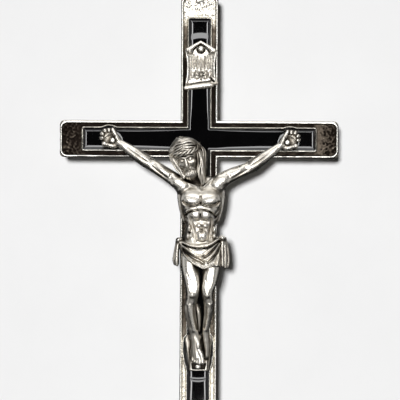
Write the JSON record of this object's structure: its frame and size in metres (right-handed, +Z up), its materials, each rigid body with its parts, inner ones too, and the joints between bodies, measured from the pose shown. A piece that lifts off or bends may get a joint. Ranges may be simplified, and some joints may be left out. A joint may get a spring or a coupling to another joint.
{
  "type": "crucifix",
  "caption": "Metal Latin cross with a black resin inlay, a riveted cast figure and scroll, and a wire ring for hanging it up.",
  "frame": {"origin": "middle of the crossing of the two beams, on the flat back face of the cross", "axes": "+Z up the shaft, +X to the viewer's right, -Y out of the decorated front, +Y into the wall"},
  "size_m": [0.064, 0.0113, 0.1296],
  "materials": {
    "plated_casting": "nickel-plated die casting, polished rim, finely stippled sunk field",
    "black_resin": "glossy black cast resin with a concave meniscus at its walls",
    "antique_silver": "antique silver plate, polished high points and darkened recesses",
    "rivet_silver": "plated rivet, domed and polished",
    "ring_wire": "nickel-plated drawn wire"
  },
  "bodies": {
    "root": {"cross_body": "plated_casting", "enamel_inlay": "black_resin", "corpus": "antique_silver", "titulus": "antique_silver", "titulus_rivet": "rivet_silver", "left_hand_rivet": "rivet_silver", "right_hand_rivet": "rivet_silver", "foot_rivet": "rivet_silver"},
    "ring": {"hanging_ring": "ring_wire"}
  },
  "joints": [
    {"name": "ring_swing", "type": "hinge", "parent": "root", "child": "ring", "pos_m": [0, -0.0015, 0.0343], "axis": [1, 0, 0], "range_deg": [-110, 110]}
  ]
}
